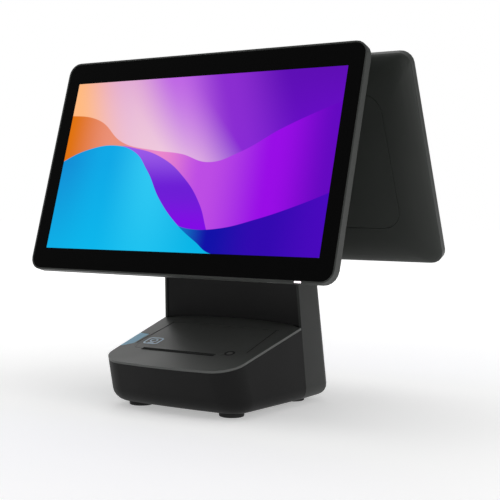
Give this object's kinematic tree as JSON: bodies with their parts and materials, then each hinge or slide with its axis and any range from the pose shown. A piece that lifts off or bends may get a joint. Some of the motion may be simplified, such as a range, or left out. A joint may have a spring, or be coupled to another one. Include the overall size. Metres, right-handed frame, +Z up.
{
  "type": "point-of-sale touchscreen terminal",
  "caption": "Countertop sales terminal: an operator touchscreen and a customer screen back to back on a column, over a receipt printer with a hinged lid and a release lever.",
  "frame": {"origin": "on the counter under the feet, at the centre of the terminal's box in plan", "axes": "+X to the operator's right, +Y away from the operator towards the customer, +Z up"},
  "size_m": [0.381, 0.2814, 0.3773],
  "materials": {
    "casing": "fine-textured black moulding",
    "deck": "fine-textured dark grey moulding",
    "satin": "satin dark grey moulding",
    "panel": "near-black textured moulding",
    "rim": "satin grey moulding",
    "back": "fine-textured dark grey moulding",
    "glass": "black-printed cover glass, polished",
    "lcd": "lit display",
    "rubber": "matt black rubber",
    "steel": "zinc-plated sheet steel",
    "cast": "dark cast alloy",
    "blade": "ground steel",
    "gear": "white acetal",
    "board": "green solder mask",
    "socket": "plated socket shell",
    "blue": "light blue moulding",
    "button": "dark grey moulding",
    "light": "white lens"
  },
  "bodies": {
    "base": {"base_housing": "casing", "base_top_cover": "deck", "bottom_cover": "casing", "chassis_plate": "steel", "column_cap": "casing", "column_front_panel": "panel", "column_shell": "satin", "column_spine": "steel", "customer_hinge_pin": "steel", "cutter_guide": "casing", "dc_socket": "socket", "drawer_socket": "socket", "foot_front_left": "rubber", "foot_front_right": "rubber", "foot_rear_left": "rubber", "foot_rear_right": "rubber", "hinge_head": "cast", "lan_socket": "socket", "main_hinge_pin": "steel", "paper_bucket": "casing", "port_board": "board", "print_head": "blade", "printer_board": "board", "printer_cross_beam": "steel", "printer_frame_left": "steel", "printer_frame_right": "steel", "stepper_motor": "cast", "usb_socket": "socket"},
    "main_display": {"main_glass": "glass", "main_lcd_panel": "lcd", "main_housing": "rim", "main_back_cover": "back", "main_service_cover": "back", "main_hinge_plate": "cast", "main_status_light": "light", "main_mainboard": "board"},
    "power_button": {"main_power_button": "button"},
    "customer_display": {"customer_glass": "glass", "customer_lcd_panel": "lcd", "customer_housing": "rim", "customer_back_cover": "back", "customer_service_cover": "back", "customer_hinge_plate": "cast", "customer_light_strip": "light", "customer_driver_board": "board"},
    "lid": {"printer_lid": "deck", "lid_carrier": "steel", "lid_hinge_pin_left": "steel", "lid_hinge_pin_right": "steel", "fixed_blade": "blade"},
    "platen": {"platen_shaft": "steel", "platen_roller": "rubber", "platen_gear": "gear"},
    "idler": {"idler_gear": "gear"},
    "pinion": {"motor_pinion": "steel"},
    "cutter": {"cutter_blade": "blade"},
    "release_lever": {"release_tab": "blue", "latch_shaft": "gear"},
    "feed_button_body": {"feed_button": "button"}
  },
  "joints": [
    {"name": "main_display_tilt", "type": "hinge", "parent": "base", "child": "main_display", "pos_m": [0, -0.06146, 0.24559], "axis": [-1, 0, 0], "range_deg": [-12, 15]},
    {"name": "customer_display_tilt", "type": "hinge", "parent": "base", "child": "customer_display", "pos_m": [0, 0.06266, 0.24813], "axis": [1, 0, 0], "range_deg": [-18, 10]},
    {"name": "power_button_press", "type": "slide", "parent": "main_display", "child": "power_button", "axis": [0, 0.2907, 0.9568], "range_m": [0, 0.0008], "stiffness_N_per_m": 800, "springref_m": -0.0005},
    {"name": "lid_hinge", "type": "hinge", "parent": "base", "child": "lid", "pos_m": [0, -0.02395, 0.07868], "axis": [-1, 0, 0], "range_deg": [0, 80]},
    {"name": "platen_spin", "type": "hinge", "parent": "lid", "child": "platen", "pos_m": [0, -0.08737, 0.05104], "axis": [1, 0, 0], "continuous": true},
    {"name": "idler_spin", "type": "hinge", "parent": "base", "child": "idler", "pos_m": [0, -0.07729, 0.03993], "axis": [1, 0, 0], "continuous": true},
    {"name": "pinion_spin", "type": "hinge", "parent": "base", "child": "pinion", "pos_m": [0, -0.06511, 0.03672], "axis": [1, 0, 0], "continuous": true},
    {"name": "cutter_slide", "type": "slide", "parent": "base", "child": "cutter", "axis": [0, 0.9686, 0.2487], "range_m": [0, 0.0035]},
    {"name": "release_lever_press", "type": "hinge", "parent": "base", "child": "release_lever", "pos_m": [0, -0.06513, 0.06295], "axis": [1, 0, 0], "range_deg": [0, 3], "stiffness_Nm_per_rad": 0.8, "springref_deg": -1.72},
    {"name": "feed_button_press", "type": "slide", "parent": "base", "child": "feed_button_body", "axis": [0, 0.2487, -0.9686], "range_m": [0, 0.0008], "stiffness_N_per_m": 800, "springref_m": -0.0005}
  ],
  "couplings": [
    {"joint": "idler_spin", "follows": "platen_spin", "ratio": -0.66667},
    {"joint": "pinion_spin", "follows": "platen_spin", "ratio": 1.6667}
  ]
}
